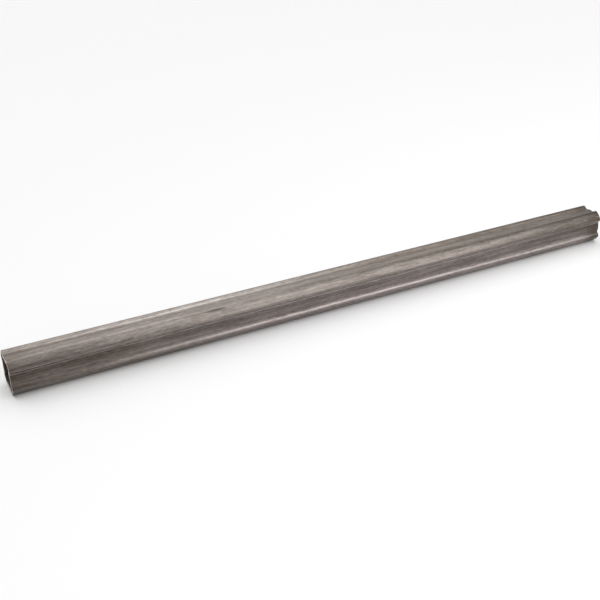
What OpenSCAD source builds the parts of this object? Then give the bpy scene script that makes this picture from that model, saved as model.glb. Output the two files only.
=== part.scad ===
// Profile tube of a telescopic drive shaft: a long steel tube drawn to a lobed section of even wall
// and sawn square at both ends. Its lobes carry the torque into a like profile that slides along it.
// The tube lies along X, on two neighbouring lobes, with the surface it lies on at Z = 0.

/* [Tube] */
// Length between the two sawn ends
tube_length = 1000; // [200:10:1500]
// Thickness of the wall, the same all round the section
wall = 4; // [2:0.25:5]

/* [Section] */
// Number of lobes round the section
lobes = 4; // [3:1:5]
// Diameter over the crowns of the lobes
crown_diameter = 62; // [60:0.5:76]
// Diameter over the floors of the grooves
groove_diameter = 48; // [40:0.5:50]
// Width of a lobe, between its two flat flanks
lobe_width = 20; // [15:0.5:24]
// Bend radius at a lobe's shoulder, on the inner face of the wall
shoulder_bend = 1; // [0.5:0.25:2]
// Bend radius at the root of a groove, on the outer face of the wall
root_bend = 4; // [1:0.25:6]

/* [Hidden] */
$fa = 3;
$fs = 0.4;

crown_radius = crown_diameter / 2;
groove_radius = groove_diameter / 2;
flank = lobe_width / 2;
shoulder_radius = shoulder_bend + wall;
pitch = 360 / lobes;

// How far each bend laps over the face it runs into, so that the two meet on a clean line
lap = 0.002;

// Centres of the bends on the right of a lobe that points along +Y, with the tube's axis at [0, 0].
// Both faces of the wall bend about them, and that keeps the wall even.
shoulder_x = flank - shoulder_radius;
shoulder = [shoulder_x, sqrt(pow(crown_radius - shoulder_radius, 2) - pow(shoulder_x, 2))];
root_x = flank + root_bend;
root = [root_x, sqrt(pow(groove_radius + root_bend, 2) - pow(root_x, 2))];

// Height of the axis when the tube lies on the shoulders of two neighbouring lobes
down = [sin(pitch / 2), cos(pitch / 2)];
axis_height = shoulder * down + shoulder_radius + lap;

// A lobe's crown and flanks, up to its shoulders, on the face that lies `inset` inside the outer one
module crown_and_flanks(inset) {
    edge = flank - inset;
    right = [[edge, 0], [edge, shoulder.y], shoulder, 2 * shoulder];
    left = [for (i = [len(right) - 1 : -1 : 0]) [-right[i].x, right[i].y]];
    intersection() {
        circle(r = crown_radius - inset);
        polygon(concat(right, left));
    }
}

// The bends on the right of a lobe: a full round at the shoulder and a hollow at the root
module bends(inset) {
    translate(shoulder) circle(r = shoulder_radius - inset + lap);
    difference() {
        polygon([[0, 0], root, [0, root.y]]);
        translate(root) circle(r = root_bend + inset + lap);
    }
}

// The area within one face of the wall: a round core, with lobes to both sides of straight down
module lobed_area(inset) {
    circle(r = groove_radius - inset);
    for (i = [0 : lobes - 1])
        rotate(180 + (i + 0.5) * pitch) {
            crown_and_flanks(inset);
            bends(inset);
            mirror([1, 0]) bends(inset);
        }
}

module profile_tube() {
    color([0.45, 0.42, 0.39])
        translate([0, 0, axis_height])
            rotate([90, 0, 90])
                linear_extrude(height = tube_length, center = true)
                    difference() {
                        lobed_area(0);
                        lobed_area(wall);
                    }
}

profile_tube();
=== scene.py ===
import bpy
import numpy as np
from mathutils import Matrix, Vector


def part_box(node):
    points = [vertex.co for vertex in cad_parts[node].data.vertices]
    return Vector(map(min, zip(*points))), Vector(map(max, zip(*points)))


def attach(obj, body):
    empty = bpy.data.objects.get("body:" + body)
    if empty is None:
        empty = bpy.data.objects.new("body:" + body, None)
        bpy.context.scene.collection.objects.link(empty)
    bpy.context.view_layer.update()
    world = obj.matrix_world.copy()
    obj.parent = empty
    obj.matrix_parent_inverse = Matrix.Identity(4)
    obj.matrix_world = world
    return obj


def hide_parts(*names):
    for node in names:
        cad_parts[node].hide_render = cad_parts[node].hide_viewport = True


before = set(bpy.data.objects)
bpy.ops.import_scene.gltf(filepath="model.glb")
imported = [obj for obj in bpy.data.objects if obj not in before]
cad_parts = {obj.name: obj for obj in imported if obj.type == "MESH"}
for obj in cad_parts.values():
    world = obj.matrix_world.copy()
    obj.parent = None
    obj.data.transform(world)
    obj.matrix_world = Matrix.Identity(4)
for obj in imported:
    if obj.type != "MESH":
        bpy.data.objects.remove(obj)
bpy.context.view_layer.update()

# Profile tube
# A steel tube, drawn cold through a die that gives it its lobes and leaves fine lines along it.
# Its lobes are rubbed brighter at the shoulders, and a thin brown oxide dulls the grooves and ends.
# Painted highlights and painted shade along the lobes, grooves and ends are part of the steel's colour
# too.
# It is sawn to length, and the saw leaves bright end faces with slightly broken edges.
low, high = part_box("profile_tube")
tube_length = high[0] - low[0]
axis_height = (low[2] + high[2]) / 2
lobe_count = 4
crown_radius = 0.031
groove_radius = 0.024
half_lobe_width = 0.010
wall = 0.004
shoulder_radius = 0.005
root_radius = 0.004
edge_break = 0.00035
edge_break_spread = 0.35
die_line_depth = 0.00003
die_line_drift = 0.5
die_line_seed = 7
outer_stations = 121
bore_stations = 41
face_stations = 7
edge_stations = 6

# Colours of the steel are linear. A mix of the dark and the light one gives each shade of grey,
# so that the darker shades are also the browner ones.
dark_steel = (0.075, 0.060, 0.049, 1)
light_steel = (0.712, 0.638, 0.590, 1)
dark_grey = 0.0626
light_grey = 0.650
steel_grey = 0.2005
# Tints of painted light: cool on the low side, warm on top, and greyer where the painted highlights are
# palest
cool_light_tint = (1.018, 1.0, 1.06, 1)
warm_light_tint = (1.01, 1.0, 0.962, 1)
pale_highlight_tint = (0.957, 1.0, 1.04, 1)
bare_steel = (0.46, 0.43, 0.405, 1)
rust = (0.105, 0.048, 0.024, 1)
sawn_steel = (0.42, 0.385, 0.350, 1)
sawn_shade = (0.24, 0.215, 0.190, 1)
bore_scale = (0.072, 0.060, 0.051, 1)
bore_rust = (0.082, 0.055, 0.038, 1)
smear_middle = (-0.208, -0.0190, 0.0511)


def half_lobe():
    """Points and outward normals of half a lobe, from the middle of its crown to just short of the
    middle of its groove, with the lobe along +Y. Each arc's points are its centre plus its radius
    along the outward normal. The root bends the other way, so its radius is negative. The flank is
    the straight line between shoulder and root."""
    shoulder_x = half_lobe_width - shoulder_radius
    shoulder = (shoulder_x, np.sqrt((crown_radius - shoulder_radius) ** 2 - shoulder_x**2))
    root_x = half_lobe_width + root_radius
    root = (root_x, np.sqrt((groove_radius + root_radius) ** 2 - root_x**2))
    crown_turn = np.arctan2(*shoulder)
    groove_turn = np.arctan2(*root)
    flank_turn = np.pi / 2
    half_pitch = np.pi / lobe_count
    # Centre, radius, first turn, last turn and number of points of each arc
    arcs = [
        ((0, 0), crown_radius, 0, crown_turn, 13),
        (shoulder, shoulder_radius, crown_turn, flank_turn, 17),
        (root, -root_radius, flank_turn, groove_turn, 12),
        ((0, 0), groove_radius, groove_turn, half_pitch, 14),
    ]
    points, normals = [], []
    for centre, radius, start, end, count in arcs:
        turn = np.linspace(start, end, count, endpoint=centre is shoulder)
        normal = np.stack([np.sin(turn), np.cos(turn)], axis=1)
        points.append(np.array(centre) + radius * normal)
        normals.append(normal)
    return np.concatenate(points), np.concatenate(normals)


def whole_outline():
    """Points and outward normals once round the section. Half a lobe is mirrored to make a lobe, and
    the lobe is turned about the axis, starting half a pitch from straight up so that the tube lies
    on two lobes. The middle of each groove closes the mirrored half."""
    points, normals = half_lobe()
    half_pitch = np.pi / lobe_count
    groove_middle = np.array([[np.sin(half_pitch), np.cos(half_pitch)]])
    flip = np.array([-1, 1])
    left_points = np.concatenate([points[1:], groove_radius * groove_middle])[::-1] * flip
    left_normals = np.concatenate([normals[1:], groove_middle])[::-1] * flip
    lobe = np.stack([np.concatenate([left_points, points]), np.concatenate([left_normals, normals])])
    turns = half_pitch * (2 * np.arange(lobe_count) + 1)
    cosine, sine = np.cos(turns), np.sin(turns)
    turn = np.array([[cosine, sine], [-sine, cosine]])
    return np.einsum("abk,dnb->dkna", turn, lobe).reshape(2, -1, 2)


def wall_loop():
    """The wall cut along the tube, as a closed loop: along the outer face, round the broken edge,
    across the sawn end, round the inner edge, back along the bore, and the same at the other end.
    Each station is a row: its place along the axis, its depth below the outer face, and how far
    the edge break moves it along each of those two."""
    half = tube_length / 2
    along = np.linspace(-1, 1, outer_stations)
    back = np.linspace(1, -1, bore_stations)
    corner = np.linspace(0, np.pi / 2, edge_stations)[1:-1]
    across = np.linspace(0, 1, face_stations)
    zero, one = np.zeros_like, np.ones_like
    outer = np.stack([along * half, zero(along), -along, zero(along)])
    bore = np.stack([back * half, wall * one(back), -back, zero(back)])
    outer_edge = np.stack([half * one(corner), zero(corner), np.sin(corner) - 1, 1 - np.cos(corner)])
    face = np.stack([half * one(across), wall * across, zero(across), 1 - 2 * across])
    mirror_depth = np.array([[1], [-1], [1], [-1]])
    bore_offset = np.array([[0], [wall], [0], [0]])
    inner_edge = (outer_edge * mirror_depth + bore_offset)[:, ::-1]
    right_end = np.concatenate([outer_edge, face, inner_edge], axis=1)
    mirror_place = np.array([[-1], [1], [-1], [1]])
    left_end = (right_end * mirror_place)[:, ::-1]
    loop = np.concatenate([outer, right_end, bore, left_end], axis=1)
    counts = [outer.shape[1], right_end.shape[1], bore.shape[1], left_end.shape[1]]
    return loop, np.repeat(["outer", "sawn", "bore", "sawn"], counts)


def grid_mesh(name, points, marks):
    """A mesh object from a grid of points that closes on itself both ways, with one quad to a cell.
    Each of the marks is a grid of values that the material reads by name."""
    rows, columns = points.shape[:2]
    index = np.arange(rows * columns).reshape(rows, columns)
    right = np.roll(index, -1, axis=1)
    quads = np.stack([index, right, np.roll(right, -1, axis=0), np.roll(index, -1, axis=0)], axis=-1)
    mesh = bpy.data.meshes.new(name)
    mesh.vertices.add(rows * columns)
    mesh.vertices.foreach_set("co", points.ravel())
    mesh.loops.add(quads.size)
    mesh.loops.foreach_set("vertex_index", quads.ravel())
    mesh.polygons.add(rows * columns)
    mesh.polygons.foreach_set("loop_start", np.arange(0, quads.size, 4))
    mesh.update(calc_edges=True)
    mesh.validate()
    mesh.shade_smooth()
    for mark, values in marks.items():
        layer = mesh.attributes.new(mark, "FLOAT", "POINT")
        layer.data.foreach_set("value", np.broadcast_to(values, (rows, columns)).ravel().astype("f"))
    made = bpy.data.objects.new(name, mesh)
    bpy.context.scene.collection.objects.link(made)
    return made


def smooth_rise(value, start, end):
    """0 before the start, 1 after the end, and an S-shaped cubic between them."""
    part = np.clip((value - start) / (end - start), 0, 1)
    return part * part * (3 - 2 * part)


outline, outline_normals = whole_outline()
loop, station_kind = wall_loop()
turn_fraction = np.linspace(0, 1, len(outline), endpoint=False)
draws = np.random.default_rng(die_line_seed)

# Ripple round the section: a sum of whole waves with random phases, so that it closes on itself
wave_numbers = np.arange(10, 45)
phases = draws.uniform(0, 2 * np.pi, wave_numbers.size)
drifts = draws.uniform(-die_line_drift, die_line_drift, wave_numbers.size)
edge_waves = np.arange(3, 40)
edge_phases = draws.uniform(0, 2 * np.pi, edge_waves.size)
edge_ripple = np.cos(2 * np.pi * np.outer(turn_fraction, edge_waves) + edge_phases).sum(axis=1)
edge_size = edge_break * (1 + edge_break_spread * edge_ripple / np.abs(edge_ripple).max())

place = loop[0][:, None] + loop[2][:, None] * edge_size
depth = loop[1][:, None] + loop[3][:, None] * edge_size
on_outer_face = (station_kind == "outer")[:, None]
angle = 2 * np.pi * turn_fraction[:, None] * wave_numbers
drift = loop[0][:, None, None] * drifts
die_lines = np.cos(angle + phases + drift).sum(axis=2)
die_lines = die_line_depth * (die_lines - die_lines.min()) / np.ptp(die_lines)
depth = depth + np.where(on_outer_face, die_lines, 0)
section = outline - depth[:, :, None] * outline_normals
points = np.concatenate([place[:, :, None], section], axis=2)
points[:, :, 2] += axis_height

# Height on a lobe, from 0 on a groove's floor to 1 on a crown, tells where the tube is rubbed and where
# highlights are painted
lobe_height = (np.hypot(*outline.T) - groove_radius) / (crown_radius - groove_radius)
shoulder_band = smooth_rise(lobe_height, 0.28, 0.42) * (1 - smooth_rise(lobe_height, 0.62, 0.9))
flank_band = smooth_rise(lobe_height, 0.15, 0.28) * (1 - smooth_rise(lobe_height, 0.4, 0.55))
root_band = smooth_rise(lobe_height, 0.01, 0.08) * (1 - smooth_rise(lobe_height, 0.24, 0.38))
marks = {
    "shoulder": shoulder_band,
    "flank": flank_band,
    "root": root_band,
    "crown": smooth_rise(lobe_height, 0.93, 1),
    "hollow": 1 - smooth_rise(lobe_height, 0, 0.2),
    "sawn": (station_kind == "sawn")[:, None],
    "bore": (station_kind == "bore")[:, None],
}
tube = grid_mesh("profile_tube_drawn", points, marks)


class Signal:
    """A value in a shader, held as the socket that gives it. Arithmetic adds a Math node."""

    def __init__(self, tree, socket):
        self.tree = tree
        self.socket = socket

    def node(self, kind, settings, inputs, output=0):
        """Any node: its settings are set first, and then its inputs, by name or by number."""
        made = self.tree.nodes.new(kind)
        for name, value in settings.items():
            setattr(made, name, value)
        for name, value in inputs.items():
            if isinstance(value, Signal):
                self.tree.links.new(value.socket, made.inputs[name])
            else:
                made.inputs[name].default_value = value
        return Signal(self.tree, made.outputs[output])

    def math(self, operation, first, second):
        return self.node("ShaderNodeMath", {"operation": operation}, {0: first, 1: second})

    def __add__(self, other):
        return self.math("ADD", self, other)

    def __radd__(self, other):
        return self.math("ADD", other, self)

    def __sub__(self, other):
        return self.math("SUBTRACT", self, other)

    def __rsub__(self, other):
        return self.math("SUBTRACT", other, self)

    def __mul__(self, other):
        return self.math("MULTIPLY", self, other)

    def __rmul__(self, other):
        return self.math("MULTIPLY", other, self)

    def rise(self, start, end):
        """0 before the start, 1 after the end, and an S-shaped cubic between them."""
        limits = {0: self, 1: start, 2: end, 3: 0.0, 4: 1.0}
        return self.node("ShaderNodeMapRange", {"interpolation_type": "SMOOTHSTEP"}, limits)

    def fall(self, start, end):
        """1 before the start, 0 after the end, and an S-shaped cubic between them."""
        return 1.0 - self.rise(start, end)

    def band(self, start, full, fade, end):
        """A rise to 1, and a fall from it further on."""
        return self.rise(start, full) * self.fall(fade, end)


def blend(factor, first, second, way="MIX"):
    """The first colour where the factor is 0 and the second, or their product, where it is 1."""
    settings = {"data_type": "RGBA", "blend_type": way}
    return factor.node("ShaderNodeMix", settings, {0: factor, 6: first, 7: second}, 2)


def vector(operation, first, second):
    """A sum, difference or product of two vectors, part by part."""
    return first.node("ShaderNodeVectorMath", {"operation": operation}, {0: first, 1: second})


def stretched_noise(place, stretch, detail, grain=0.5):
    """Smooth noise from 0 to 1 at a place, with so many features to a metre along each axis."""
    inputs = {"Vector": vector("MULTIPLY", place, stretch), "Scale": 1.0, "Detail": detail}
    return place.node("ShaderNodeTexNoise", {}, inputs | {"Roughness": grain})


def noise(along, across, detail):
    """Smooth noise about 0, with so many features to a metre along the tube and across it."""
    return stretched_noise(position, (along, across, across), detail, 0.55) - 0.5


tube_steel = bpy.data.materials.new("drawn_steel")
tube_steel.use_nodes = True
steel_tree = tube_steel.node_tree
principled = steel_tree.nodes["Principled BSDF"]
position = Signal(steel_tree, steel_tree.nodes.new("ShaderNodeTexCoord").outputs["Object"])
mark = {
    name: position.node("ShaderNodeAttribute", {"attribute_name": name}, {}, "Fac") for name in marks
}
along_tube = position.node("ShaderNodeSeparateXYZ", {}, {0: position}, 0)
across_tube = position.node("ShaderNodeSeparateXYZ", {}, {0: position}, 1)
up_tube = position.node("ShaderNodeSeparateXYZ", {}, {0: position}, 2)
from_middle = along_tube.math("ABSOLUTE", along_tube, 0.0)

# Broad patches, short streaks, a fine mottle, and die lines at three widths
patches = noise(5, 45, 3)
streaks = noise(24, 260, 3)
mottle = noise(120, 420, 2)
wide_lines = noise(1.2, 170, 2)
middle_lines = noise(3, 520, 2)
fine_lines = noise(9, 1700, 3)

# Rubbed parts of the lobes, with painted highlights on them, as shares that are added to the plain shade
# of the steel. Places are in metres, the left is the -X end, and the front is the -Y side.
shoulder_wear_and_highlight = 0.6
crown_wear_and_highlight = 0.2
# The front roots and flanks get painted light, which lifts the shade in the crease under the upper front
# lobe
root_painted_light = 1.2
flank_painted_light = 1.6
front_half = across_tube.fall(-0.012, -0.004)
front_side = front_half * up_tube.rise(0.026, 0.034)
front_crease_painted_light = (mark["root"] * root_painted_light + mark["flank"] * flank_painted_light) * front_side
front_crease_painted_light = front_crease_painted_light * up_tube.fall(0.040, 0.045) * (along_tube.fall(-0.4, -0.2) * 0.3 + 1.0)
wear_and_painted_light = mark["shoulder"] * shoulder_wear_and_highlight + mark["crown"] * crown_wear_and_highlight + front_crease_painted_light
wear_and_painted_light = wear_and_painted_light * (noise(2.5, 14, 1) * 1.6 + 1.0)

# The upper lobe on the front carries painted highlights: its crown is brightest above the middle, its
# lower bend is paler along the middle of the tube, and its upper bend and its lower edge are paler on
# the left, with painted shade on the upper bend further right
lower_edge_highlight = mark["shoulder"] * front_side * up_tube.fall(0.0385, 0.042) * 0.15
crown_painted_light = up_tube.band(0.045, 0.0495, 0.0505, 0.0525) * 0.22 - 0.08
lower_bend_highlight = up_tube.band(0.0412, 0.0425, 0.0437, 0.0454) * along_tube.band(-0.34, -0.22, 0.15, 0.38)
left_edge_highlight = up_tube.band(0.0355, 0.0375, 0.0392, 0.041) * along_tube.fall(-0.34, -0.2)
upper_bend_strength = 0.22 - along_tube.rise(-0.22, -0.05) * 0.42 + along_tube.rise(0.12, 0.3) * 0.2
upper_bend_strength = upper_bend_strength - along_tube.fall(-0.45, -0.39) * 0.09
upper_bend_painted_light = up_tube.rise(0.0515, 0.0525) * upper_bend_strength
bend_painted_light = lower_bend_highlight * 0.3 + upper_bend_painted_light + left_edge_highlight * 0.16
wear_and_painted_light = wear_and_painted_light + lower_edge_highlight + front_side * (mark["crown"] * crown_painted_light + bend_painted_light)

# The two lobes that the tube lies on get painted shade towards the left end and a faint painted
# highlight further right. Their upper sides have painted shade on the left half too, and a little
# painted highlight towards the right end.
low_lobes = mark["shoulder"] * up_tube.fall(0.016, 0.026)
low_lobe_painted_light = along_tube.rise(-0.46, -0.34) * 0.62 + along_tube.rise(-0.4, 0.1) * 0.3 - 0.7
low_flank = up_tube.band(0.0148, 0.0164, 0.019, 0.0215)
low_flank_painted_light = along_tube.rise(0.15, 0.35) * 0.1 - along_tube.fall(-0.1, 0.02) * 0.17
wear_and_painted_light = wear_and_painted_light + low_lobes * low_lobe_painted_light + low_flank * low_flank_painted_light

# The upper lobe at the back is worn bright along its edge on the left half, and less on the right, with
# a painted highlight on that edge. The groove on top has painted light beside that lobe, and on the
# left.
back_lobe = across_tube.rise(0.004, 0.010) * up_tube.rise(0.042, 0.049) * (1.0 - mark["hollow"])
right_half = along_tube.rise(-0.22, 0.12)
past_left_end = along_tube.rise(-0.48, -0.36)
left_flank = mark["flank"] * (past_left_end * 0.75 + 0.85)
left_root = mark["root"] * (past_left_end * 0.3 + 0.2)
left_wear_and_highlight = left_flank + left_root + mark["shoulder"] * 0.1
right_wear_and_painted_light = mark["flank"] * 0.2 + mark["root"] * 0.25 - 0.15
back_wear_and_painted_light = (1.0 - right_half) * left_wear_and_highlight + right_half * right_wear_and_painted_light
top_side = up_tube.rise(0.045, 0.049)
groove_edge = across_tube.band(0.002, 0.004, 0.0065, 0.0085) * top_side
top_groove = mark["hollow"] * top_side * along_tube.fall(-0.25, -0.05)
wear_and_painted_light = wear_and_painted_light + back_lobe * back_wear_and_painted_light + groove_edge * 0.4 + top_groove * 0.1

# A brown oxide film in the grooves, with painted shade added in the front groove, stains at the ends,
# painted shade at the left end, on top towards the right and low at the right end, and a darker crown on
# the right
front_oxide_and_shade = across_tube.fall(-0.024, -0.004) * up_tube.rise(0.018, 0.034)
front_oxide_and_shade = front_oxide_and_shade * (1.0 - along_tube.rise(-0.25, 0.2) * 0.35)
front_low = front_half * up_tube.band(0.0215, 0.025, 0.0285, 0.032)
oxide_and_shade = (noise(4, 30, 3) * 1.2 + front_oxide_and_shade * 0.9 + 0.1).rise(0.1, 1.1)
oxide_and_shade = mark["hollow"] * (oxide_and_shade + front_low * 0.08)
stain_reach = 0.05
near_end = from_middle.rise(tube_length / 2 - stain_reach, tube_length / 2)
end_stain = near_end * (noise(14, 60, 3) + 0.8)
# Painted shade on the low side of the last stretch of the right end
far_end_shade = along_tube.rise(0.465, 0.492) * up_tube.fall(0.02, 0.034)
# Painted shade at the left end, deepest in the front grooves
left_groove_shade = mark["hollow"] * (front_side * 0.14 + front_low * 0.14)
left_end_shade = along_tube.fall(-0.40, -0.24) * (left_groove_shade + 0.2)
# Painted shade on top towards the right end
top_right_shade = along_tube.rise(-0.05, 0.3) * up_tube.rise(0.0495, 0.052) * (1.0 - mark["hollow"])
right_dark = along_tube.rise(0.24, 0.42) * front_side * up_tube.fall(0.0475, 0.051)

# A dark smear on a shoulder, longer than it is wide
smear_stretch = (55, 420, 420)
smear_shape = vector("MULTIPLY", vector("SUBTRACT", position, smear_middle), smear_stretch)
smear_reach = position.node("ShaderNodeVectorMath", {"operation": "LENGTH"}, {0: smear_shape}, "Value")
smear = (smear_reach + noise(60, 400, 2) * 1.2).fall(0.35, 1.1)

# The shade of the steel: the plain grey with its patches, most of them on the left half, then the lines,
# the rubbed parts with their painted highlights, and each darker part by its depth: oxide, stains and
# painted shade
oxide_and_shade_depth = 0.42
far_end_shade_depth = 0.5
right_depth = 0.3
top_right_shade_depth = 0.27
smear_depth = 0.55
# The end stains go deeper at the right end, where painted shade also dims the highlights
stain_and_shade_depth = along_tube.rise(-0.1, 0.1) * 0.2 + 0.22
patchy = patches * (0.8 - along_tube.rise(-0.15, 0.1) * 0.4)
shade = steel_grey * (1.0 + patchy + streaks * 1.05 + mottle)
shade = shade * (1.0 + wide_lines * 0.6 + middle_lines * 0.6 + fine_lines * 0.4)
shade = shade * (1.0 + wear_and_painted_light) * (1.0 - oxide_and_shade * oxide_and_shade_depth)
shade = shade * (1.0 - end_stain * stain_and_shade_depth) * (1.0 - far_end_shade * far_end_shade_depth)
shade = shade * (1.0 - left_end_shade) * (1.0 - right_dark * right_depth)
shade = shade * (1.0 - top_right_shade * top_right_shade_depth) * (1.0 - smear * smear_depth)
steel = blend((shade - dark_grey) * (1 / (light_grey - dark_grey)), dark_steel, light_steel)

# A painted tint of the light: a faint cool mauve low on the tube and a warm straw on top, away from the
# left end, and the palest steel, mostly painted highlight, is greyer than the rest
pale_highlight_share = shade.rise(0.25, 0.5)
low_side = up_tube.fall(0.028, 0.046)
cool_light_share = low_side * along_tube.band(-0.38, -0.1, 0.3, 0.5)
warm_light_share = (1.0 - low_side) * along_tube.rise(-0.1, 0.15)
warm_light_share = warm_light_share * (across_tube.rise(-0.014, -0.006) * 0.65 + 0.35)
steel = blend(cool_light_share, steel, cool_light_tint, "MULTIPLY")
steel = blend(warm_light_share, steel, warm_light_tint, "MULTIPLY")
steel = blend(pale_highlight_share, steel, pale_highlight_tint, "MULTIPLY")

# Thin bright scratches, a few degrees off the tube's own direction and fewest in the grooves, and
# short nicks on the crowns
scratch_cover = 0.45
scratch_stretch = (13, 640, 640)
scratch_slants = ((0, 0.05, 0.08), (0, -0.03, -0.05))
scratches = 0.0
for slant in scratch_slants:
    slant_inputs = {"Vector": position, "Rotation": slant}
    slanted = position.node("ShaderNodeVectorRotate", {"rotation_type": "EULER_XYZ"}, slant_inputs)
    scratches = stretched_noise(slanted, scratch_stretch, 1.0).rise(0.69, 0.76) + scratches
nicks = noise(230, 420, 1).rise(0.24, 0.31) * mark["crown"]
bright = scratches * (1.0 - mark["hollow"] * 0.7) + nicks
steel = blend(bright * scratch_cover, steel, bare_steel)

# Sparse freckles of rust, and more of them towards the ends
rust_cover = 0.75
freckles = (noise(210, 260, 2) + end_stain * 0.07).rise(0.21, 0.27) * noise(16, 60, 2).rise(0.02, 0.18)
steel = blend(freckles * rust_cover, steel, rust)

# Saw marks run slantwise over the end faces, and scale with a little rust lines the bore
saw_slant = 0.35
saw_stretch = (0, 40, 1500)
saw_inputs = {"Vector": position, "Angle": saw_slant}
saw_place = position.node("ShaderNodeVectorRotate", {"rotation_type": "X_AXIS"}, saw_inputs)
saw_marks = stretched_noise(saw_place, saw_stretch, 2.0) - 0.5
sawn = blend((saw_marks * 2.2 + 0.45).rise(0.0, 1.0), sawn_shade, sawn_steel)
bore = blend((noise(20, 45, 4) + end_stain * 0.2).rise(-0.02, 0.3), bore_scale, bore_rust)
colour = blend(mark["sawn"], blend(mark["bore"], steel, bore), sawn)

# Rubbed steel and its painted highlights are a little smoother than the rest, and the oxide film with
# its painted shade, rust and the bore are rougher
plain_rough = 0.38
rough_lines = middle_lines * 0.18 + patches * 0.15 + streaks * 0.15
outer_rough = plain_rough + rough_lines - wear_and_painted_light * 0.06 + oxide_and_shade * 0.06 + freckles * 0.3
roughness = outer_rough + mark["bore"] * 0.2 + mark["sawn"] * (saw_marks * 0.2 - 0.02)
metallic = 1.0 - freckles * 0.7 - mark["bore"] * 0.35

# Die lines, freckles, scratches and saw marks also stand up from the face or sink into it
bump_strength = 0.5
bump_depth = 0.00006
line_height = wide_lines * 0.6 + middle_lines * 0.5 + fine_lines * 0.12
outer_height = line_height + freckles * 0.3 - bright * 0.35
height = outer_height * (1.0 - mark["sawn"]) + saw_marks * mark["sawn"]
bump_inputs = {"Strength": bump_strength, "Distance": bump_depth, "Height": height}
bump = height.node("ShaderNodeBump", {}, bump_inputs)
steel_tree.links.new(colour.socket, principled.inputs["Base Color"])
steel_tree.links.new(roughness.socket, principled.inputs["Roughness"])
steel_tree.links.new(metallic.socket, principled.inputs["Metallic"])
steel_tree.links.new(bump.socket, principled.inputs["Normal"])
tube.data.materials.append(tube_steel)
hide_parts("profile_tube")
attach(tube, "root")

# Floor
# A plain pale studio floor, far larger than the view.
floor_half = 20
floor_white = 0.92
floor_rough = 0.9
floor_mesh = bpy.data.meshes.new("floor")
floor_corners = floor_half * np.array([[-1, -1, 0], [1, -1, 0], [1, 1, 0], [-1, 1, 0]])
floor_mesh.from_pydata(floor_corners.tolist(), [], [(0, 1, 2, 3)])
floor = bpy.data.objects.new("floor", floor_mesh)
bpy.context.scene.collection.objects.link(floor)
floor_paint = bpy.data.materials.new("floor_paint")
floor_paint.use_nodes = True
floor_shader = floor_paint.node_tree.nodes["Principled BSDF"]
floor_shader.inputs["Base Color"].default_value = (floor_white, floor_white, floor_white, 1)
floor_shader.inputs["Roughness"].default_value = floor_rough
floor_shader.inputs["Specular IOR Level"].default_value = 0.0
floor.data.materials.append(floor_paint)

# Light
# A white horizon that meets the floor, a dimmer sky, two broad soft suns and one long soft box
horizon_white = (1.0, 1.0, 1.0, 1)
sky_grey = (0.43, 0.43, 0.43, 1)
world = bpy.data.worlds.new("studio")
world.use_nodes = True
background = world.node_tree.nodes["Background"]
direction = Signal(world.node_tree, world.node_tree.nodes.new("ShaderNodeTexCoord").outputs["Generated"])
elevation = direction.node("ShaderNodeSeparateXYZ", {}, {0: direction}, 2)
sky = blend(elevation.rise(0.06, 0.40), horizon_white, sky_grey)
world.node_tree.links.new(sky.socket, background.inputs["Color"])
bpy.context.scene.world = world


def add_lamp(name, kind, settings, lamp_place, aim):
    """A lamp at a place that faces the aim point."""
    lamp = bpy.data.lights.new(name, kind)
    for setting, value in settings.items():
        setattr(lamp, setting, value)
    made = bpy.data.objects.new(name, lamp)
    made.location = lamp_place
    made.rotation_euler = (Vector(aim) - Vector(lamp_place)).to_track_quat("-Z", "Y").to_euler()
    bpy.context.scene.collection.objects.link(made)


key_box = {"shape": "RECTANGLE", "size": 1.6, "size_y": 0.6, "energy": 4.4}
wide_sun = np.radians(75)
add_lamp("key", "AREA", key_box, (0.80, -0.89, 0.83), (0.80, 0, 0.03))
add_lamp("front", "SUN", {"angle": wide_sun, "energy": 0.55}, (0, -0.68, 1.88), (0, 0, 0))
add_lamp("back", "SUN", {"angle": wide_sun, "energy": 1.40}, (0, 1.0, 1.73), (0, 0, 0))

# Camera
# The photograph's view: focal length in pixels of a 600 pixel frame, from the tube's own edges
frame_pixels = 600
focal_pixels = 955.9
camera_place = Vector((-0.6357, -1.1439, 0.6766))
camera_aim = Vector((-0.0689, -0.0097, 0.0273))
camera_roll = np.radians(-1.74)

camera_data = bpy.data.cameras.new("camera")
camera_data.sensor_width = 36
camera_data.lens = camera_data.sensor_width * focal_pixels / frame_pixels
camera = bpy.data.objects.new("camera", camera_data)
forward = (camera_aim - camera_place).normalized()
level_right = forward.cross(Vector((0, 0, 1))).normalized()
level_up = level_right.cross(forward)
right = level_right * np.cos(camera_roll) + level_up * np.sin(camera_roll)
up = level_up * np.cos(camera_roll) - level_right * np.sin(camera_roll)
camera_turn = Matrix((right, up, -forward)).transposed().to_4x4()
camera.matrix_world = Matrix.Translation(camera_place) @ camera_turn
bpy.context.scene.collection.objects.link(camera)
bpy.context.scene.camera = camera

bpy.context.scene.view_settings.view_transform = "Standard"
